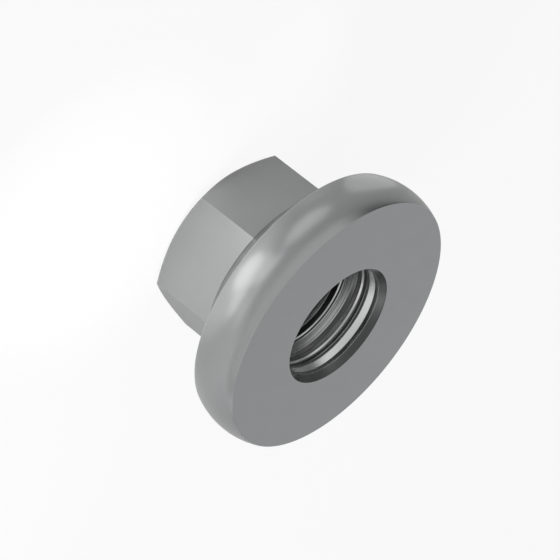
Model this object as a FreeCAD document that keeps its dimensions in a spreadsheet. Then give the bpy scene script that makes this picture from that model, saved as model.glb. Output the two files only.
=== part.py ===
import FreeCAD, Part
import Sketcher
import math
import os
import re

doc = FreeCAD.newDocument("collarNut")

# Driving sizes, in millimetres and degrees
sheet = doc.addObject("Spreadsheet::Sheet", "Sizes")
sizes = {
    "acrossFlats": "19 mm",
    "nutHeight": "18 mm",
    "faceRadius": "15.7 mm",
    "rimBulge": "0.61 mm",
    "rimThickness": "5.85 mm",
    "shoulderDrop": "8.9 mm",
    "shoulderMargin": "0.08 mm",
    "endFaceShare": "0.95",
    "endChamferAngle": "30 deg",
    "threadDiameter": "12 mm",
    "threadPitch": "1.75 mm",
    "threadDepthShare": "0.5413",
    "countersinkMargin": "0.35 mm",
    "countersinkAngle": "60 deg",
    "recessRadius": "6.78 mm",
    "taperDepth": "5.25 mm",
    "taperRelief": "0.42 mm",
    "stepDrop": "0.05 mm",
    "stepWidth": "0.25 mm",
    "stepChamferDrop": "0.17 mm",
    "stepChamferWidth": "0.11 mm",
    "recessFloorAngle": "80 deg",
    "mouthFlare": "0.57 mm",
    "mouthChamferDepth": "0.75 mm",
    "lipDepth": "1.25 mm",
    "wideGrooveRelief": "0.52 mm",
    "wideGrooveSlopeRelief": "0.08 mm",
    "wideGrooveSlopeEnd": "2.1 mm",
    "wideGrooveFloorRelief": "0.14 mm",
    "wideGrooveFloorEnd": "3.05 mm",
    "wideGrooveEnd": "3.25 mm",
    "ridgeWidth": "0.1 mm",
    "narrowGrooveRelief": "0.27 mm",
    "narrowGrooveFloorEnd": "4 mm",
    "narrowGrooveEnd": "4.35 mm",
    "axisOverlap": "1 mm",
    "cutMargin": "2 mm",
}
for row, (alias, text) in enumerate(sizes.items(), start=1):
    sheet.set("A%d" % row, alias)
    sheet.set("B%d" % row, text)
    sheet.setAlias("B%d" % row, alias)
doc.recompute()

# Sizes that follow from the driving ones
derived = {
    "cornerRadius": "=acrossFlats / sqrt(3)",
    "rimRadius": "=(rimBulge ^ 2 + (rimThickness / 2) ^ 2) / (2 * rimBulge)",
    "rimHeight": "=nutHeight - rimThickness",
    "shoulderHeight": "=nutHeight - shoulderDrop",
    "shoulderRadius": "=cornerRadius + shoulderMargin",
    "endFaceRadius": "=endFaceShare * acrossFlats / 2",
    "endChamferHeight": "=(shoulderRadius - endFaceRadius) * tan(endChamferAngle)",
    "minorRadius": "=threadDiameter / 2 - threadDepthShare * threadPitch",
    "countersinkRadius": "=threadDiameter / 2 + countersinkMargin",
    "countersinkHeight": "=(countersinkRadius - minorRadius) / tan(countersinkAngle)",
    "mouthRadius": "=recessRadius + mouthFlare",
    "wideGrooveRadius": "=recessRadius + wideGrooveRelief",
    "wideGrooveSlopeRadius": "=recessRadius + wideGrooveSlopeRelief",
    "wideGrooveFloorRadius": "=recessRadius + wideGrooveFloorRelief",
    "narrowGrooveRadius": "=recessRadius + narrowGrooveRelief",
    "taperEndRadius": "=recessRadius - taperRelief",
    "stepRadius": "=taperEndRadius - stepWidth",
    "stepDepth": "=taperDepth + stepDrop",
    "floorRadius": "=stepRadius - stepChamferWidth",
    "floorDepth": "=stepDepth + stepChamferDrop",
    "threadStartDepth": "=floorDepth + (floorRadius - minorRadius) / tan(recessFloorAngle)",
}
firstDerived = len(sizes) + 1
for row, (alias, text) in enumerate(derived.items(), start=firstDerived):
    sheet.set("A%d" % row, alias)
    sheet.set("B%d" % row, text)
    sheet.setAlias("B%d" % row, alias)
    doc.recompute()

nut = doc.addObject("PartDesign::Body", "LockNut")
nut.Label = "lock_nut"
doc.recompute()


def originFeature(body, role):
    for feature in body.Origin.OriginFeatures:
        if feature.Role == role:
            return feature
    raise ValueError("no origin feature " + role)


def sketchOn(body, name, planeRole):
    sketch = body.newObject("Sketcher::SketchObject", name)
    sketch.AttachmentSupport = [(originFeature(body, planeRole), "")]
    sketch.MapMode = "FlatFace"
    return sketch


def sizeOf(expression):
    # value of an expression on the sheet, in millimetres
    value = sheet.evalExpression(expression)
    return float(getattr(value, "Value", value))


def bindPoint(sketch, edge, end, radius, height):
    # ties one end of an edge to its radius and height
    for kind, text, axis in (("DistanceX", radius, -2), ("DistanceY", height, -1)):
        value = sizeOf(text)
        if value == 0:
            sketch.addConstraint(Sketcher.Constraint("PointOnObject", edge, end, axis))
        else:
            index = sketch.addConstraint(Sketcher.Constraint(kind, -1, 1, edge, end, value))
            sketch.setExpression("Constraints[%d]" % index, onSheet(text))


def onSheet(text):
    # the same expression with every alias pointed at the sheet
    for alias in sorted(list(sizes) + list(derived), key=len, reverse=True):
        text = re.sub(r"(?<![A-Za-z.])%s(?![A-Za-z])" % alias, "Sizes." + alias, text)
    return text


def closedProfile(sketch, corners, bulges=None):
    # corners: (radius, height) in order; bulges: edge number to the point that an arc passes through
    bulges = bulges or {}
    points = [FreeCAD.Vector(sizeOf(r), sizeOf(z), 0) for r, z in corners]
    ends = []
    for index, start in enumerate(points):
        finish = points[(index + 1) % len(points)]
        if index in bulges:
            middle = FreeCAD.Vector(sizeOf(bulges[index][0]), sizeOf(bulges[index][1]), 0)
            edge = sketch.addGeometry(Part.Arc(start, middle, finish), False)
        else:
            edge = sketch.addGeometry(Part.LineSegment(start, finish), False)
        forward = sketch.getPoint(edge, 1).distanceToPoint(start) < 1e-6
        ends.append((edge, 1, 2) if forward else (edge, 2, 1))
    for index, (edge, first, last) in enumerate(ends):
        following = ends[(index + 1) % len(ends)]
        join = Sketcher.Constraint("Coincident", edge, last, following[0], following[1])
        sketch.addConstraint(join)
        bindPoint(sketch, edge, first, *corners[index])
    for index in bulges:
        size = bulges[index][2]
        limit = sketch.addConstraint(Sketcher.Constraint("Radius", ends[index][0], sizeOf(size)))
        sketch.setExpression("Constraints[%d]" % limit, onSheet(size))
    doc.recompute()


def mustCut(body, before):
    # a cut that leaves the volume as it was has missed the metal
    if body.Shape.Volume > before - 1e-6:
        raise ValueError(body.Tip.Name + " removed nothing")
    return body.Shape.Volume


# Turned blank: collar with a barrel rim, conical back, round hub with a chamfered end
blankSketch = sketchOn(nut, "BlankSketch", "XZ_Plane")
closedProfile(
    blankSketch,
    [
        ("0 mm", "0 mm"),
        ("endFaceRadius", "0 mm"),
        ("shoulderRadius", "endChamferHeight"),
        ("shoulderRadius", "shoulderHeight"),
        ("faceRadius", "rimHeight"),
        ("faceRadius", "nutHeight"),
        ("0 mm", "nutHeight"),
    ],
    {4: ("faceRadius + rimBulge", "nutHeight - rimThickness / 2", "rimRadius")},
)
blank = nut.newObject("PartDesign::Revolution", "TurnedBlank")
blank.Profile = blankSketch
blank.ReferenceAxis = (blankSketch, ["V_Axis"])
blank.Angle = 360
doc.recompute()
volume = nut.Shape.Volume

# Hexagon: everything outside the six flats is milled off, up to the collar
hexSketch = sketchOn(nut, "HexSketch", "XY_Plane")
hexCorners = []
for step in range(6):
    turn = math.radians(60 * step)
    hexCorners.append(FreeCAD.Vector(math.cos(turn), math.sin(turn), 0) * sizeOf("cornerRadius"))
for step in range(6):
    hexSketch.addGeometry(Part.LineSegment(hexCorners[step], hexCorners[(step + 1) % 6]), False)
guide = hexSketch.addGeometry(
    Part.Circle(FreeCAD.Vector(0, 0, 0), FreeCAD.Vector(0, 0, 1), sizeOf("cornerRadius")), True
)
hexSketch.addConstraint(Sketcher.Constraint("Coincident", guide, 3, -1, 1))
for step in range(6):
    hexSketch.addConstraint(Sketcher.Constraint("Coincident", step, 2, (step + 1) % 6, 1))
    hexSketch.addConstraint(Sketcher.Constraint("PointOnObject", step, 1, guide))
for step in range(5):
    hexSketch.addConstraint(Sketcher.Constraint("Equal", step, step + 1))
hexSketch.addConstraint(Sketcher.Constraint("PointOnObject", 0, 1, -1))
limit = hexSketch.addConstraint(Sketcher.Constraint("Radius", guide, sizeOf("cornerRadius")))
hexSketch.setExpression("Constraints[%d]" % limit, onSheet("cornerRadius"))
stockRadius = "shoulderRadius + cutMargin"
stock = hexSketch.addGeometry(
    Part.Circle(FreeCAD.Vector(0, 0, 0), FreeCAD.Vector(0, 0, 1), sizeOf(stockRadius)), False
)
hexSketch.addConstraint(Sketcher.Constraint("Coincident", stock, 3, -1, 1))
limit = hexSketch.addConstraint(Sketcher.Constraint("Radius", stock, sizeOf(stockRadius)))
hexSketch.setExpression("Constraints[%d]" % limit, onSheet(stockRadius))
flats = nut.newObject("PartDesign::Pocket", "HexFlats")
flats.Profile = hexSketch
flats.Type = "Length"
flats.Length = sizeOf("shoulderHeight")
flats.setExpression("Length", onSheet("shoulderHeight"))
flats.Reversed = True
doc.recompute()
volume = mustCut(nut, volume)

# Bore at the thread's minor diameter, right through
boreSketch = sketchOn(nut, "BoreSketch", "XY_Plane")
wall = boreSketch.addGeometry(
    Part.Circle(FreeCAD.Vector(0, 0, 0), FreeCAD.Vector(0, 0, 1), sizeOf("minorRadius")), False
)
boreSketch.addConstraint(Sketcher.Constraint("Coincident", wall, 3, -1, 1))
limit = boreSketch.addConstraint(Sketcher.Constraint("Radius", wall, sizeOf("minorRadius")))
boreSketch.setExpression("Constraints[%d]" % limit, onSheet("minorRadius"))
bore = nut.newObject("PartDesign::Pocket", "Bore")
bore.Profile = boreSketch
bore.Type = "ThroughAll"
bore.Reversed = True
doc.recompute()
volume = mustCut(nut, volume)

# Mouth recess: flared lip, wide ring groove, ridge, narrow ring groove, taper, small step and floor
recessSketch = sketchOn(nut, "RecessSketch", "XZ_Plane")
closedProfile(
    recessSketch,
    [
        ("minorRadius - axisOverlap", "nutHeight"),
        ("mouthRadius", "nutHeight"),
        ("recessRadius", "nutHeight - mouthChamferDepth"),
        ("recessRadius", "nutHeight - lipDepth"),
        ("wideGrooveRadius", "nutHeight - lipDepth"),
        ("wideGrooveSlopeRadius", "nutHeight - wideGrooveSlopeEnd"),
        ("wideGrooveFloorRadius", "nutHeight - wideGrooveFloorEnd"),
        ("recessRadius", "nutHeight - wideGrooveEnd"),
        ("recessRadius", "nutHeight - wideGrooveEnd - ridgeWidth"),
        ("narrowGrooveRadius", "nutHeight - wideGrooveEnd - ridgeWidth"),
        ("narrowGrooveRadius", "nutHeight - narrowGrooveFloorEnd"),
        ("recessRadius", "nutHeight - narrowGrooveEnd"),
        ("taperEndRadius", "nutHeight - taperDepth"),
        ("stepRadius", "nutHeight - stepDepth"),
        ("floorRadius", "nutHeight - floorDepth"),
        ("minorRadius", "nutHeight - threadStartDepth"),
        ("minorRadius - axisOverlap", "nutHeight - threadStartDepth"),
    ],
)
recess = nut.newObject("PartDesign::Groove", "MouthRecess")
recess.Profile = recessSketch
recess.ReferenceAxis = (recessSketch, ["V_Axis"])
recess.Angle = 360
doc.recompute()
volume = mustCut(nut, volume)

# Countersink where the thread leaves the hexagon end
sinkSketch = sketchOn(nut, "CountersinkSketch", "XZ_Plane")
closedProfile(
    sinkSketch,
    [
        ("minorRadius - axisOverlap", "0 mm"),
        ("countersinkRadius", "0 mm"),
        ("minorRadius", "countersinkHeight"),
        ("minorRadius - axisOverlap", "countersinkHeight"),
    ],
)
sink = nut.newObject("PartDesign::Groove", "Countersink")
sink.Profile = sinkSketch
sink.ReferenceAxis = (sinkSketch, ["V_Axis"])
sink.Angle = 360
doc.recompute()
volume = mustCut(nut, volume)

for item in doc.Objects:
    if "Invalid" in item.State or "Error" in item.State:
        raise ValueError(item.Name + " did not compute")
if nut.Shape.isNull() or not nut.Shape.isValid() or len(nut.Shape.Solids) != 1:
    raise ValueError("lock_nut is not one valid solid")

os.makedirs("parts", exist_ok=True)
nut.Placement = FreeCAD.Placement(FreeCAD.Vector(0, 0, 0), FreeCAD.Rotation(0, 0, 0))
nut.Shape.exportStep("parts/%s.step" % nut.Label)
print("lock_nut volume", round(volume, 2), "mm3")
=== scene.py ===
import math

import bmesh
import bpy
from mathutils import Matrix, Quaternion, Vector


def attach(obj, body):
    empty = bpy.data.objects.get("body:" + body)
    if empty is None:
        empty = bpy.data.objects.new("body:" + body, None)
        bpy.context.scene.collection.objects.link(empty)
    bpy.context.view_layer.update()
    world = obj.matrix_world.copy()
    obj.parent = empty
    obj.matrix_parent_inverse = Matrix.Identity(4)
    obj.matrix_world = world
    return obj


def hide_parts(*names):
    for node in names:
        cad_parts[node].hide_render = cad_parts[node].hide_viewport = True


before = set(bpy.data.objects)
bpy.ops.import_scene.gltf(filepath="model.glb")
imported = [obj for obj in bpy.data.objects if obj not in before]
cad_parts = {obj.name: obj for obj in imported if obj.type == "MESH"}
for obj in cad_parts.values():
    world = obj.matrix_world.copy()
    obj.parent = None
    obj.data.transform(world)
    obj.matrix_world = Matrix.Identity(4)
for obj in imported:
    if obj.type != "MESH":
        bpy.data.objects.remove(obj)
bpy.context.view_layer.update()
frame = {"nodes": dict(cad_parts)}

print("frame loaded, nodes:", ", ".join(frame["nodes"]))

# The nut stands on its hexagon end at z = 0, thread axis along +Z, one hexagon corner on +X.
# Its sizes are given in millimetres and become metres when the points are made.
mm = 0.001

nutBody = {
    "acrossFlats": 19.0,
    "height": 18.0,
    "faceRadius": 15.7,           # flat bearing face on top of the collar
    "faceBand": 4.0,              # width of its outermost mesh band
    "rimRadius": 16.31,           # widest point of the collar
    "rimThickness": 5.85,
    "shoulderHeight": 9.1,        # where the hexagon meets the back of the collar
    "shoulderMargin": 0.08,
    "rootFillet": 0.05,           # small radius from the collar's back down onto the flats
    "rootFilletWidth": 0.025,
    "hexCornerRadius": 0.05,      # drawn bar has slightly rounded corners
    "endFaceRadius": 9.025,
    "endChamferAngle": 30.0,
    "endEdgeMargin": 0.05,        # chamfer ring beside the edge of the end face
    "entryMargin": 0.3,           # innermost ring of the end face, out from the countersink
    "edgeBreak": 0.05,            # light deburring of the turned edges
    "faceEdgeBreak": 0.004,       # the bearing face keeps its crisp edge
    "endEdgeBreak": 0.03,
    "breakShare": 0.4,            # most of a neighbouring stretch that a broken edge takes
    "breakSteps": 3,
    "flatSteps": 40,              # columns along one flat of the hexagon
    "rimSteps": 26,
    "wearAndSheenWidth": 0.14,            # how far the edge wear and the painted edge sheen run back
    # wear and painted sheen of the hexagon's corners
    "cornerWearAndSheen": 0.2,
    "rootPaintedShade": -0.88,             # painted shade in the corner behind the collar
    "rootPaintedShadeSteps": (0.55, 1.0),  # where its rings lie, as shares of the way in
}

mouthRecess = {
    "mouthRadius": 7.35,
    "mouthMargin": 1.0,           # mesh band of the bearing face round the mouth
    "recessRadius": 6.78,
    "lipStart": 0.75,
    "lipEnd": 1.25,
    "wideGrooveRadius": 7.30,     # sharp upper corner of the groove, under the lip
    "wideGrooveSlopeRadius": 6.86,
    "wideGrooveSlopeEnd": 2.1,
    # low band at the foot of the slope: how far below the slope's end, and how far it stands in
    "slopeFoot": ((0.24, 0.0), (0.20, 0.032), (0.10, 0.025)),
    "wideGrooveFloorRadius": 6.92,
    "wideGrooveFloorEnd": 3.05,
    "wideGrooveEnd": 3.25,
    "narrowGrooveRadius": 7.05,
    "narrowGrooveStart": 3.35,
    "narrowGrooveFloorEnd": 4.0,
    "narrowGrooveEnd": 4.35,
    "taperEndRadius": 6.36,       # below the grooves the recess narrows to a small step
    "taperEnd": 5.25,
    "taperNotches": (4.53, 4.90, 5.08),
    "notchReach": 0.02,           # half the height of a notch
    "notchEdge": 0.01,            # its lower edge stands in by this, and its upper edge back
    "notchDepth": 0.012,
    "stepRadius": 6.105,
    "stepEnd": 5.30,
    "floorRadius": 6.015,
    "floorStart": 5.47,
    "floorAngle": 80.0,
    "floorEdgeWidth": 0.03,       # broken edge from the floor down to the land
    "floorEdgeDrop": 0.07,
    "landLength": 0.42,           # plain land below the recess, before the thread
    "edgeBreak": 0.02,
    # ridges that the tool left: first and last depth, count, height, painted light or shade
    "wideGrooveLines": (
        (2.40, 2.56, 2, 0.010, 0.6),
        (2.67, 2.75, 2, 0.002, -0.25),
        (2.80, 3.03, 3, 0.004, 0.8),
    ),
    "narrowGrooveLines": ((3.42, 3.88, 3, 0.016, 0.6),),
    "landLines": ((5.74, 6.02, 2, 0.018, 0.6),),
    "ridgeSides": (0.4, 2.4),     # foot to crest and foot to foot, as shares of a ridge's height
    "wideGrooveMargin": 0.01,     # plain floor left beside the ridges
    "narrowGrooveMargins": (0.03, 0.05),
    # painted light and shade of the bands: above 0 a painted highlight that lightens the steel, below 0 a
    # painted shade that darkens it
    "cut": {
        "flare": -0.22, "lip": 1.0, "slope": 1.1, "slopeEnd": 1.0, "ridge": 1.4, "grooveEnd": -0.3,
        "taper": 0.38, "notch": -0.5, "step": -0.4, "chamfer": 1.45,
        "floor": -0.8, "floorEdge": 1.2, "land": 0.6,
    },
}

nutThread = {
    "pitch": 1.75,
    "majorRadius": 6.0,
    "minorRadius": 5.0527,
    "crestShare": 0.25,           # share of the pitch that is flat on the crest
    "rootShare": 0.125,
    "rowsPerPitch": 16,
    "spareTurns": 2,              # turns of the mesh past each end, pressed flat onto it
    "startTurn": 0.289,           # where round the axis the thread starts, in turns
    "runOut": 0.35,               # the thread fades out over this length below the land
    "entryRadius": 6.35,          # countersink at the hexagon end
    "entryAngle": 60.0,
}


def hexCornerSpan():
    # half angle that the rounding of one hexagon corner takes up
    r = nutBody["hexCornerRadius"]
    centre = (nutBody["acrossFlats"] / 2 - r) / math.cos(math.radians(30))
    return math.atan2(r * math.sin(math.radians(30)), centre + r * math.cos(math.radians(30)))


def offCorner(angle):
    # angle from the nearest hexagon corner
    return abs((angle + math.pi / 6) % (math.pi / 3) - math.pi / 6)


def hexRadiusAt(angle):
    # distance from the axis to the hexagon's outline in that direction
    half = nutBody["acrossFlats"] / 2
    r = nutBody["hexCornerRadius"]
    off = offCorner(angle)
    if off >= hexCornerSpan():
        return half / math.cos(math.pi / 6 - off)
    centre = (half - r) / math.cos(math.pi / 6)
    return centre * math.cos(off) + math.sqrt(r * r - (centre * math.sin(off)) ** 2)


def columnAngles():
    # directions of the mesh columns: even along a flat, with a few close ones at each corner
    span = hexCornerSpan()
    near = span + nutBody["wearAndSheenWidth"] / nutBody["acrossFlats"] * 2
    steps = nutBody["flatSteps"]
    inner = [near + (math.pi / 3 - 2 * near) * k / steps for k in range(steps + 1)]
    sector = [0.0, span / 2, span] + inner + [math.pi / 3 - span, math.pi / 3 - span / 2]
    return [k * math.pi / 3 + a for k in range(6) for a in sector]


def brokenLine(points, edgeBreak):
    # (radius, height, edge wear and sheen, painted light or shade) along a turned section, each inner
    # corner broken by a short curve; a point's third number is the painted light or shade of the stretch
    # after it
    line = []
    reach, steps = nutBody["wearAndSheenWidth"], nutBody["breakSteps"]
    most = nutBody["breakShare"]
    points = [(*p, 0.0)[:3] for p in points]
    line.append((points[0][0], points[0][1], 0.0, points[0][2]))
    for before, corner, after in zip(points, points[1:], points[2:]):
        spot = Vector(corner[:2])
        toStart, toEnd = Vector(before[:2]) - spot, Vector(after[:2]) - spot
        size = min(edgeBreak, toStart.length * most, toEnd.length * most)
        start, end = spot + toStart.normalized() * size, spot + toEnd.normalized() * size
        if toStart.length > 2 * (size + reach):
            line.append((*(spot + toStart.normalized() * (size + reach)), 0.0, before[2]))
        for k in range(steps + 1):
            t = k / steps
            cut = before[2] + (corner[2] - before[2]) * t
            line.append((*start.lerp(spot, t).lerp(spot.lerp(end, t), t), 1.0, cut))
        if toEnd.length > 2 * (size + reach):
            line.append((*(spot + toEnd.normalized() * (size + reach)), 0.0, corner[2]))
    line.append((points[-1][0], points[-1][1], 0.0, points[-2][2]))
    return line


def rimArc():
    # the barrel of the collar from the bearing face to its rear edge
    flat, wide = nutBody["faceRadius"], nutBody["rimRadius"]
    half, bulge = nutBody["rimThickness"] / 2, wide - flat
    radius = (half * half + bulge * bulge) / (2 * bulge)
    spread = math.asin(half / radius)
    middle = nutBody["height"] - half
    steps = nutBody["rimSteps"]
    turns = [spread - 2 * spread * k / steps for k in range(steps + 1)]
    return [(wide - radius + radius * math.cos(t), middle + radius * math.sin(t)) for t in turns]


columns = columnAngles()
rings = []                        # (points of the ring, edge wear and sheen, painted light or shade, finish of the band that follows)


def addRing(radius, height, wearAndSheen, finish, cut=0.0):
    points = []
    for i, angle in enumerate(columns):
        r = radius[i] if isinstance(radius, list) else radius
        z = height[i] if isinstance(height, list) else height
        points.append((r * math.cos(angle) * mm, r * math.sin(angle) * mm, z * mm))
    rings.append((points, wearAndSheen, cut, finish))


def addTurned(line):
    for r, z, wearAndSheen, cut in line:
        addRing(r, z, wearAndSheen, "turned", cut)


def floorEnd():
    # depth at which the recess floor meets the thread's crest
    width = mouthRecess["floorRadius"] - nutThread["minorRadius"]
    return mouthRecess["floorStart"] + width / math.tan(math.radians(mouthRecess["floorAngle"]))


def toolLines(ridges, radiusAt):
    # small turned ridges with their long side up, from the deepest to the shallowest
    crest, foot = mouthRecess["ridgeSides"]
    points = []
    for first, last, count, lift, cut in reversed(ridges):
        for k in range(count):
            deep = last - (last - first) * k / count
            for inward, drop in ((0, 0.0), (lift, crest * lift), (0, foot * lift)):
                points.append((radiusAt(deep) - inward, deep - drop, 0.0, cut))
    return points


def taperLine():
    # the taper with its fine notches, from the step up to the narrow groove
    m, cut = mouthRecess, mouthRecess["cut"]
    narrowing = (m["recessRadius"] - m["taperEndRadius"]) / (m["taperEnd"] - m["narrowGrooveEnd"])
    line = [(m["taperEndRadius"], m["taperEnd"], cut["taper"])]
    for depth in reversed(m["taperNotches"]):
        r = m["taperEndRadius"] + (m["taperEnd"] - depth) * narrowing
        line += [
            (r - m["notchEdge"], depth + m["notchReach"], cut["notch"]),
            (r + m["notchDepth"], depth, cut["notch"]),
            (r + m["notchEdge"], depth - m["notchReach"], cut["taper"]),
        ]
    return line


def addMouthRecess():
    # every line runs from the deepest point up, as (radius, depth below the face, painted light or shade)
    top, m = nutBody["height"], mouthRecess
    cut = m["cut"]
    minor = nutThread["minorRadius"]
    wideFloor, slope = m["wideGrooveFloorRadius"], m["wideGrooveSlopeRadius"]
    narrowFloor = m["narrowGrooveRadius"]
    above, below = m["narrowGrooveMargins"]
    landLine = [
        (minor, floorEnd() + m["landLength"], cut["land"]),
        (minor, m["landLines"][-1][1], cut["land"]),
    ]
    floorLine = [
        (minor, floorEnd() + m["floorEdgeDrop"], cut["floorEdge"]),
        (minor + m["floorEdgeWidth"], floorEnd(), cut["floor"]),
        (m["floorRadius"], m["floorStart"], cut["chamfer"]),
        (m["stepRadius"], m["stepEnd"], cut["step"]),
        *taperLine(),
        (m["recessRadius"], m["narrowGrooveEnd"], cut["grooveEnd"]),
        (narrowFloor, m["narrowGrooveFloorEnd"], cut["grooveEnd"]),
        (narrowFloor, m["narrowGrooveFloorEnd"] - below),
    ]
    ridgeLine = [
        (narrowFloor, m["narrowGrooveStart"] + above),
        (narrowFloor, m["narrowGrooveStart"]),
        (m["recessRadius"], m["narrowGrooveStart"]),
        (m["recessRadius"], m["wideGrooveEnd"], cut["ridge"]),
        (wideFloor, m["wideGrooveFloorEnd"]),
        (wideFloor, m["wideGrooveFloorEnd"] - m["wideGrooveMargin"]),
    ]
    slopeEnd = m["wideGrooveSlopeEnd"]
    lipLine = [(slope - inward, slopeEnd + down, cut["slopeEnd"]) for down, inward in m["slopeFoot"]]
    lipLine += [
        (slope, slopeEnd, cut["slope"]),
        (m["wideGrooveRadius"], m["lipEnd"]),
        (m["recessRadius"], m["lipEnd"], cut["lip"]),
        (m["recessRadius"], m["lipStart"], cut["flare"]),
        (m["mouthRadius"], 0.0),
        (m["mouthRadius"] + m["mouthMargin"], 0.0),
    ]

    def wideFloorAt(depth):
        share = (depth - slopeEnd) / (m["wideGrooveFloorEnd"] - slopeEnd)
        return slope + (wideFloor - slope) * share

    for part in (
        brokenLine(landLine, m["edgeBreak"]),
        toolLines(m["landLines"], lambda depth: minor),
        brokenLine(floorLine, m["edgeBreak"]),
        toolLines(m["narrowGrooveLines"], lambda depth: narrowFloor),
        brokenLine(ridgeLine, m["edgeBreak"]),
        toolLines(m["wideGrooveLines"], wideFloorAt),
        brokenLine(lipLine, m["edgeBreak"]),
    ):
        addTurned((r, top - depth, wearAndSheen, bandPaintedLight) for r, depth, wearAndSheen, bandPaintedLight in part)


def addCollar():
    arc = rimArc()
    front = [(nutBody["faceRadius"] - nutBody["faceBand"], nutBody["height"]), arc[0], arc[1]]
    addTurned(brokenLine(front, nutBody["faceEdgeBreak"]))
    for r, z in arc[2:-2]:
        addRing(r, z, 0.0, "turned")
    corner = Vector((hexRadiusAt(0.0) + nutBody["shoulderMargin"], nutBody["shoulderHeight"]))
    halfway = corner.lerp(Vector(arc[-1]), 0.5)
    addTurned(brokenLine([arc[-2], arc[-1], tuple(halfway)], nutBody["edgeBreak"]))
    # painted shade on the back of the collar, darkest at the hexagon
    for share in nutBody["rootPaintedShadeSteps"]:
        addRing(*halfway.lerp(corner, share), 0.0, "turned", nutBody["rootPaintedShade"] * share)


def addHexagon():
    outline = [hexRadiusAt(a) for a in columns]
    z, fillet, width = nutBody["shoulderHeight"], nutBody["rootFillet"], nutBody["rootFilletWidth"]
    for t in (90, 60, 30, 0):
        off, drop = 1 - math.sin(math.radians(90 - t)), 1 - math.sin(math.radians(t))
        addRing([r + width * off for r in outline], z - fillet * drop, 0.0, "drawn")
    # the end chamfer cuts each flat along a curve, so these rings rise towards the corners
    slope = math.tan(math.radians(nutBody["endChamferAngle"]))
    low = [(r - nutBody["endFaceRadius"]) * slope for r in outline]
    size = nutBody["edgeBreak"]
    dr, dz = math.cos(math.atan(slope)), math.sin(math.atan(slope))
    addRing(outline, [h + size + nutBody["wearAndSheenWidth"] for h in low], 0.0, "drawn")
    addRing(outline, [h + size for h in low], 1.0, "turned")
    addRing([r - size * dr / 4 for r in outline], [h + size * (1 - dz) / 4 for h in low], 1.0, "turned")
    addRing([r - size * dr for r in outline], [h - size * dz for h in low], 1.0, "turned")
    endLine = [
        (nutBody["endFaceRadius"] + nutBody["endEdgeMargin"], nutBody["endEdgeMargin"] * slope),
        (nutBody["endFaceRadius"], 0.0),
        (nutThread["entryRadius"] + nutBody["entryMargin"], 0.0),
    ]
    addTurned(brokenLine(endLine, nutBody["endEdgeBreak"]))


addMouthRecess()
addCollar()
addHexagon()
print("section rings:", len(rings), "columns:", len(columns))


def threadRadiusAt(phase):
    # sharp-edged 60 degree thread form over one pitch, crest first
    phase %= 1.0
    crest, root = nutThread["crestShare"], nutThread["rootShare"]
    flank = (1 - crest - root) / 2
    low, high = nutThread["minorRadius"], nutThread["majorRadius"]
    if phase <= crest:
        return low
    if phase < crest + flank:
        return low + (high - low) * (phase - crest) / flank
    if phase <= crest + flank + root:
        return high
    return high - (high - low) * (phase - crest - flank - root) / flank


def threadColumns(bm):
    # rows follow the helix, so the wrap joins row j to row j + rowsPerPitch
    rows, pitch = nutThread["rowsPerPitch"], nutThread["pitch"]
    top = nutBody["height"] - floorEnd() - mouthRecess["landLength"]
    low = nutThread["minorRadius"]
    entrySlope = math.tan(math.radians(nutThread["entryAngle"]))
    spare = nutThread["spareTurns"] * rows
    grid = []
    for angle in columns:
        column = []
        for j in range(-spare, int(top / pitch * rows) + spare + 1):
            z = pitch * (j / rows + nutThread["startTurn"] + angle / (2 * math.pi))
            z = min(max(z, 0.0), top)
            share = min((top - z) / nutThread["runOut"], 1.0)
            r = low + (threadRadiusAt(j / rows) - low) * share
            r = max(r, nutThread["entryRadius"] - z * entrySlope)
            column.append(bm.verts.new((r * math.cos(angle) * mm, r * math.sin(angle) * mm, z * mm)))
        grid.append(column)
    return grid


nutMesh = {
    "samePoint": 1e-8,            # metres
    "weldWithin": 1e-7,
    "sharpFrom": 28.0,            # edges are sharp from this angle on
    "cornerSlack": 1.01,          # keeps the last column of a rounded corner
}


def bandFace(bm, corners, finish):
    # a quad, or the triangle that is left where two of its corners are one point
    kept = []
    for v in corners:
        if all((v.co - k.co).length > nutMesh["samePoint"] for k in kept):
            kept.append(v)
    if len(kept) > 2:
        face = bm.faces.new(kept)
        face.material_index = finish
        face.smooth = True


def ringLoops(bm):
    # the points of every ring, with their edge wear and sheen and their painted light or shade; the
    # hexagon's corners get wear and sheen as well
    wearAndSheenLayer = bm.verts.layers.float.new("wearAndSheen")
    cutLayer = bm.verts.layers.float.new("cut")
    span = hexCornerSpan() * nutMesh["cornerSlack"]
    loops = []
    for points, wearAndSheen, cut, finish in rings:
        loop = [bm.verts.new(p) for p in points]
        for v, angle in zip(loop, columns):
            onCorner = finish == "drawn" and offCorner(angle) <= span
            v[wearAndSheenLayer] = nutBody["cornerWearAndSheen"] if onCorner else wearAndSheen
            v[cutLayer] = cut
        loops.append(loop)
    return loops


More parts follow.
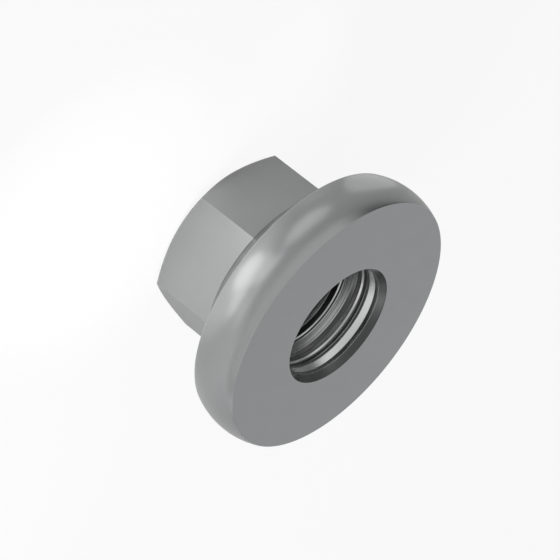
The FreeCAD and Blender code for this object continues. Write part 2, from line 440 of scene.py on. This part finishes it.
def buildNut():
    finishes = ["turned", "drawn", "thread"]
    bm = bmesh.new()
    loops = ringLoops(bm)
    count = len(columns)
    for k in range(len(loops) - 1):
        index = finishes.index(rings[k][3])
        for i in range(count):
            n = (i + 1) % count
            bandFace(bm, (loops[k][i], loops[k][n], loops[k + 1][n], loops[k + 1][i]), index)
    grid = threadColumns(bm)
    index = finishes.index("thread")
    for i in range(count):
        n, shift = (i + 1, 0) if i + 1 < count else (0, nutThread["rowsPerPitch"])
        for j in range(len(grid[i]) - 1 - shift):
            corners = (grid[i][j], grid[n][j + shift], grid[n][j + 1 + shift], grid[i][j + 1])
            bandFace(bm, corners, index)
    index = finishes.index("turned")
    for i in range(count):        # close the section: thread top to recess, end face to thread entry
        n = (i + 1) % count
        bandFace(bm, (loops[-1][i], loops[-1][n], grid[n][0], grid[i][0]), index)
        bandFace(bm, (grid[i][-1], grid[n][-1], loops[0][n], loops[0][i]), index)
    bmesh.ops.remove_doubles(bm, verts=bm.verts, dist=nutMesh["weldWithin"])
    bmesh.ops.dissolve_degenerate(bm, edges=bm.edges, dist=nutMesh["samePoint"])
    bmesh.ops.recalc_face_normals(bm, faces=bm.faces)
    mesh = bpy.data.meshes.new("lock_nut_body")
    bm.to_mesh(mesh)
    openEdges = sum(1 for e in bm.edges if len(e.link_faces) != 2)
    loose = sum(1 for v in bm.verts if not v.link_faces)
    print("open edges:", openEdges, "loose points:", loose)
    print("volume in mm3:", round(bm.calc_volume() / mm ** 3, 1))
    bm.free()
    mesh.set_sharp_from_angle(angle=math.radians(nutMesh["sharpFrom"]))
    nut = bpy.data.objects.new("lock_nut_body", mesh)
    bpy.context.scene.collection.objects.link(nut)
    return nut


nut = buildNut()
print("nut mesh:", len(nut.data.polygons), "faces")

steelFinish = {
    "colour": (0.40, 0.405, 0.405),
    "roughness": 0.26,
    "toneSpread": 0.035,          # how much the grey wanders over a few millimetres
    "toneNoise": {"scale": 0.35, "detail": 3.0, "roughness": 0.5},
    "markSpread": 0.03,           # trace of the tool marks
    "markNoise": {"scale": 5.0, "detail": 3.0, "roughness": 0.6},
    "markStretch": 0.02,          # draws the marks out along the bar
    "wearAndSheenLift": 0.10,             # how much lighter the edges are, from wear and a painted sheen
    "cutLift": 1.0,               # and the bands in the mouth, painted light and shade
}
# the nut's finishes: lay of the tool marks, share of the steel's colour (darker in the thread: an oily tone
# and painted shade of the deep bore), added roughness
nutFinishes = (
    ("turnedSteel", "round", 1.0, 0.0),
    ("drawnSteel", "along", 1.0, 0.05),
    ("threadSteel", "round", 0.40, 0.02),
)


def newNode(tree, kind, **values):
    node = tree.nodes.new(kind)
    for key, value in values.items():
        setattr(node, key, value)
    return node


def mathNode(tree, operation, first, second=None):
    node = newNode(tree, "ShaderNodeMath", operation=operation)
    for socket, value in zip(node.inputs, (first, second)):
        if isinstance(value, bpy.types.NodeSocket):
            tree.links.new(value, socket)
        elif value is not None:
            socket.default_value = value
    return node.outputs[0]


def easedRange(tree, value, fromLow, fromHigh, low, high):
    node = newNode(tree, "ShaderNodeMapRange", interpolation_type="SMOOTHSTEP")
    tree.links.new(value, node.inputs["Value"])
    node.inputs["From Min"].default_value = fromLow
    node.inputs["From Max"].default_value = fromHigh
    for name, level in (("To Min", low), ("To Max", high)):
        if isinstance(level, bpy.types.NodeSocket):
            tree.links.new(level, node.inputs[name])
        else:
            node.inputs[name].default_value = level
    return node.outputs[0]


def noiseOf(tree, vector, scale, detail, roughness):
    node = newNode(tree, "ShaderNodeTexNoise", noise_dimensions="3D")
    node.inputs["Scale"].default_value = scale
    node.inputs["Detail"].default_value = detail
    node.inputs["Roughness"].default_value = roughness
    tree.links.new(vector, node.inputs["Vector"])
    return node.outputs["Fac"]


def steelMaterial(name, marks, oilAndPaintedShade, roughness):
    # the tool marks lie round the axis, or along it on the drawn flats
    mat = bpy.data.materials.new(name)
    mat.use_nodes = True
    tree = mat.node_tree
    tree.nodes.clear()
    output = newNode(tree, "ShaderNodeOutputMaterial")
    shader = newNode(tree, "ShaderNodeBsdfPrincipled")
    tree.links.new(shader.outputs[0], output.inputs["Surface"])
    shader.inputs["Metallic"].default_value = 1.0

    place = newNode(tree, "ShaderNodeTexCoord").outputs["Object"]
    millimetres = newNode(tree, "ShaderNodeVectorMath", operation="SCALE")
    millimetres.inputs["Scale"].default_value = 1 / mm
    tree.links.new(place, millimetres.inputs[0])
    spot = millimetres.outputs[0]
    parts = newNode(tree, "ShaderNodeSeparateXYZ")
    tree.links.new(spot, parts.inputs[0])
    x, y, z = parts.outputs
    lay = newNode(tree, "ShaderNodeCombineXYZ")
    if marks == "round":
        squares = [mathNode(tree, "MULTIPLY", side, side) for side in (x, y)]
        radius = mathNode(tree, "SQRT", mathNode(tree, "ADD", *squares))
        tree.links.new(radius, lay.inputs[0])
        tree.links.new(z, lay.inputs[2])
    else:
        tree.links.new(x, lay.inputs[0])
        tree.links.new(y, lay.inputs[1])
        tree.links.new(mathNode(tree, "MULTIPLY", z, steelFinish["markStretch"]), lay.inputs[2])
    layMarks = noiseOf(tree, lay.outputs[0], **steelFinish["markNoise"])
    cloud = noiseOf(tree, spot, **steelFinish["toneNoise"])

    # grey: slow clouds, a trace of the marks, lighter edges from wear and a painted sheen, and the painted
    # light and shade of the mouth's bands and the collar's back
    tone = mathNode(tree, "SUBTRACT", cloud, 0.5)
    tone = mathNode(tree, "MULTIPLY", tone, steelFinish["toneSpread"] * 2)
    line = mathNode(tree, "SUBTRACT", layMarks, 0.5)
    line = mathNode(tree, "MULTIPLY", line, steelFinish["markSpread"])
    wearAndSheen = newNode(tree, "ShaderNodeAttribute", attribute_name="wearAndSheen").outputs["Fac"]
    lift = mathNode(tree, "MULTIPLY", wearAndSheen, steelFinish["wearAndSheenLift"])
    # painted light and shade, read from the mesh
    cut = newNode(tree, "ShaderNodeAttribute", attribute_name="cut").outputs["Fac"]
    lift = mathNode(tree, "ADD", lift, mathNode(tree, "MULTIPLY", cut, steelFinish["cutLift"]))
    level = mathNode(tree, "ADD", mathNode(tree, "ADD", tone, line), lift)
    level = mathNode(tree, "ADD", level, 1.0)
    colour = newNode(tree, "ShaderNodeVectorMath", operation="SCALE")
    colour.inputs[0].default_value = [c * oilAndPaintedShade for c in steelFinish["colour"]]
    tree.links.new(level, colour.inputs["Scale"])
    tree.links.new(colour.outputs[0], shader.inputs["Base Color"])
    shader.inputs["Roughness"].default_value = steelFinish["roughness"] + roughness
    return mat


for finish in nutFinishes:
    nut.data.materials.append(steelMaterial(*finish))
weighted = nut.modifiers.new("evenShading", "WEIGHTED_NORMAL")
weighted.keep_sharp = True
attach(nut, "root")
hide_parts("lock_nut")
print("materials:", ", ".join(m.name for m in nut.data.materials))

# from here on, places and lengths are in metres
studioFloor = {
    "size": 4.0,
    "drop": 0.00002,              # just clear of the nut's end face
    "colour": (0.86, 0.86, 0.86),
    "whiteToCamera": 0.90,        # share of plain white that the camera sees over the shaded floor
    "whiteToGloss": 0.19,         # and the share that shows in the metal
}


def studioMaterial(name, look):
    mat = bpy.data.materials.new(name)
    mat.use_nodes = True
    tree = mat.node_tree
    tree.nodes.clear()
    output = newNode(tree, "ShaderNodeOutputMaterial")
    diffuse = newNode(tree, "ShaderNodeBsdfDiffuse")
    diffuse.inputs["Color"].default_value = (*look["colour"], 1)
    white = newNode(tree, "ShaderNodeEmission")
    rays = newNode(tree, "ShaderNodeLightPath")
    gloss = mathNode(tree, "MAXIMUM", rays.outputs["Is Glossy Ray"], rays.outputs["Is Transmission Ray"])
    share = mathNode(
        tree, "MAXIMUM",
        mathNode(tree, "MULTIPLY", rays.outputs["Is Camera Ray"], look["whiteToCamera"]),
        mathNode(tree, "MULTIPLY", gloss, look["whiteToGloss"]))
    mix = newNode(tree, "ShaderNodeMixShader")
    tree.links.new(share, mix.inputs[0])
    tree.links.new(diffuse.outputs[0], mix.inputs[1])
    tree.links.new(white.outputs[0], mix.inputs[2])
    tree.links.new(mix.outputs[0], output.inputs["Surface"])
    return mat


def buildFloor():
    half = studioFloor["size"] / 2
    mesh = bpy.data.meshes.new("studioFloor")
    corners = [(-half, -half, 0), (half, -half, 0), (half, half, 0), (-half, half, 0)]
    mesh.from_pydata(corners, [], [(0, 1, 2, 3)])
    floor = bpy.data.objects.new("studioFloor", mesh)
    floor.location.z = -studioFloor["drop"]
    bpy.context.scene.collection.objects.link(floor)
    mesh.materials.append(studioMaterial("paleFloor", studioFloor))


buildFloor()

# directions are degrees round the axis from +X, and degrees above the floor;
# a lamp with onMetal False lights the floor alone, so that only its glow shows in the metal
studioLamps = {
    "side": {"turn": 80, "rise": 30, "distance": 0.30, "size": 0.12, "brightness": 11.0,
             "colour": (0.98, 0.99, 1.0), "onMetal": False},
    "back": {"turn": -171, "rise": 30, "distance": 0.55, "size": 0.46, "brightness": 0.50,
             "colour": (0.965, 0.982, 1.0), "onMetal": True},
    "left": {"turn": 119, "rise": 5, "distance": 0.50, "size": 0.20, "brightness": 0.62,
             "colour": (0.98, 0.99, 1.0), "onMetal": True},
    "top": {"turn": 9, "rise": 86, "distance": 0.55, "size": 0.24, "brightness": 0.6,
            "colour": (1.0, 1.0, 1.0), "onMetal": True},
}
# soft pools of light on the floor, each from its own small spot lamp
floorPools = (
    {"at": (0.0235, 0.0111), "angle": 6.4, "power": 4.3},
    {"at": (0.0088, -0.0134), "angle": 3.8, "power": 1.7},
    {"at": (0.0069, 0.0445), "angle": 12.0, "power": 1.3},
)
poolLamp = {"rise": 62, "distance": 0.40, "softness": 0.001}
# round lights lying on the floor, which make the highlights of the rim
floorLights = (
    {"at": (0.0277, 0.0086), "size": 0.014, "brightness": 0.85},
    {"at": (0.0391, 0.0084), "size": 0.018, "brightness": 0.5},
    {"at": (0.0612, 0.0099), "size": 0.03, "brightness": 0.7},
    {"at": (0.0331, 0.0225), "size": 0.018, "brightness": 0.5},
    {"at": (0.0581, 0.0474), "size": 0.04, "brightness": 0.45},
    {"at": (0.0438, -0.0241), "size": 0.034, "brightness": 0.42},
    {"at": (-0.0011, -0.0360), "size": 0.03, "brightness": 0.4},
)
floorLightHeight = 0.0003
nutMiddle = Vector((0, 0, nutBody["height"] / 2 * mm))


def placeAt(turn, rise, distance, target):
    t, e = math.radians(turn), math.radians(rise)
    away = Vector((math.cos(t) * math.cos(e), math.sin(t) * math.cos(e), math.sin(e)))
    return target + away * distance, (-away).to_track_quat("-Z", "Y")


def addLamp(name, data, place, onMetal):
    lamp = bpy.data.objects.new(name, data)
    lamp.rotation_mode = "QUATERNION"
    lamp.location, lamp.rotation_quaternion = place
    lamp.visible_camera = False
    lamp.visible_glossy = onMetal
    bpy.context.scene.collection.objects.link(lamp)


def buildLamps():
    for name, lamp in studioLamps.items():
        data = bpy.data.lights.new(name + "Lamp", "AREA")
        data.shape = "SQUARE"
        data.size = lamp["size"]
        data.color = lamp["colour"]
        data.energy = lamp["brightness"] * math.pi * lamp["size"] ** 2
        place = placeAt(lamp["turn"], lamp["rise"], lamp["distance"], nutMiddle)
        addLamp(name + "Lamp", data, place, lamp["onMetal"])
    facingUp = Vector((0, 0, -1)).rotation_difference(Vector((0, 0, 1)))
    for k, light in enumerate(floorLights):
        data = bpy.data.lights.new("floorLight%d" % (k + 1), "AREA")
        data.shape = "DISK"
        data.size = light["size"]
        data.energy = light["brightness"] * (math.pi * light["size"] / 2) ** 2
        addLamp(data.name, data, (Vector((*light["at"], floorLightHeight)), facingUp), True)
    for k, pool in enumerate(floorPools):
        data = bpy.data.lights.new("poolLamp%d" % (k + 1), "SPOT")
        data.energy = pool["power"]
        data.spot_size = math.radians(pool["angle"])
        data.spot_blend = 1.0
        data.shadow_soft_size = poolLamp["softness"]
        spot = Vector((*pool["at"], 0.0))
        turn = math.degrees(math.atan2(spot.y, spot.x))
        place = placeAt(turn, poolLamp["rise"], poolLamp["distance"], spot)
        addLamp(data.name, data, place, False)


# brightness of the room: low down in front, low down behind, and above
studioWorld = {
    "front": 0.77,
    "behind": 0.13,
    "above": 0.14,
    "turn": 21.0,                 # direction of the front
    "behindFrom": -0.25,          # cosines of the angle to it where behind ends and front begins
    "frontFrom": 0.35,
    "dimsFrom": 24.0,             # degrees above the floor over which it dims
    "dimsTo": 42.0,
}


def buildWorld():
    room = studioWorld
    world = bpy.data.worlds.new("studioWorld")
    bpy.context.scene.world = world
    world.use_nodes = True
    tree = world.node_tree
    tree.nodes.clear()
    output = newNode(tree, "ShaderNodeOutputWorld")
    look = newNode(tree, "ShaderNodeTexCoord").outputs["Generated"]
    up = newNode(tree, "ShaderNodeSeparateXYZ")
    tree.links.new(look, up.inputs[0])
    facing = newNode(tree, "ShaderNodeVectorMath", operation="DOT_PRODUCT")
    tree.links.new(look, facing.inputs[0])
    turn = math.radians(room["turn"])
    facing.inputs[1].default_value = (math.cos(turn), math.sin(turn), 0.0)
    low = easedRange(
        tree, facing.outputs["Value"], room["behindFrom"], room["frontFrom"], room["behind"], room["front"])
    dims = [math.sin(math.radians(room[k])) for k in ("dimsFrom", "dimsTo")]
    level = easedRange(tree, up.outputs[2], dims[0], dims[1], low, room["above"])
    soft = newNode(tree, "ShaderNodeBackground")
    tree.links.new(level, soft.inputs["Strength"])
    soft.inputs["Color"].default_value = (1, 1, 1, 1)
    white = newNode(tree, "ShaderNodeBackground")
    white.inputs["Color"].default_value = (1, 1, 1, 1)
    rays = newNode(tree, "ShaderNodeLightPath")
    mix = newNode(tree, "ShaderNodeMixShader")
    tree.links.new(rays.outputs["Is Camera Ray"], mix.inputs[0])
    tree.links.new(soft.outputs[0], mix.inputs[1])
    tree.links.new(white.outputs[0], mix.inputs[2])
    tree.links.new(mix.outputs[0], output.inputs["Surface"])


buildLamps()
buildWorld()
bpy.context.scene.view_settings.view_transform = "Standard"

photoCamera = {
    "turn": 9.166,
    "rise": 27.381,
    "distance": 0.39725,
    "roll": 128.274,
    "lens": 235.956,              # millimetres, on a sensor of this width
    "sensor": 36.0,
    "clip": (0.01, 20.0),
}


def buildCamera():
    data = bpy.data.cameras.new("photoCamera")
    data.sensor_width = photoCamera["sensor"]
    data.lens = photoCamera["lens"]
    data.clip_start, data.clip_end = photoCamera["clip"]
    camera = bpy.data.objects.new("photoCamera", data)
    camera.rotation_mode = "QUATERNION"
    spot, facing = placeAt(
        photoCamera["turn"], photoCamera["rise"], photoCamera["distance"], nutMiddle)
    camera.location = spot
    camera.rotation_quaternion = facing @ Quaternion((0, 0, 1), math.radians(photoCamera["roll"]))
    bpy.context.scene.collection.objects.link(camera)
    bpy.context.scene.camera = camera


buildCamera()
print("camera, lamps and floor placed")
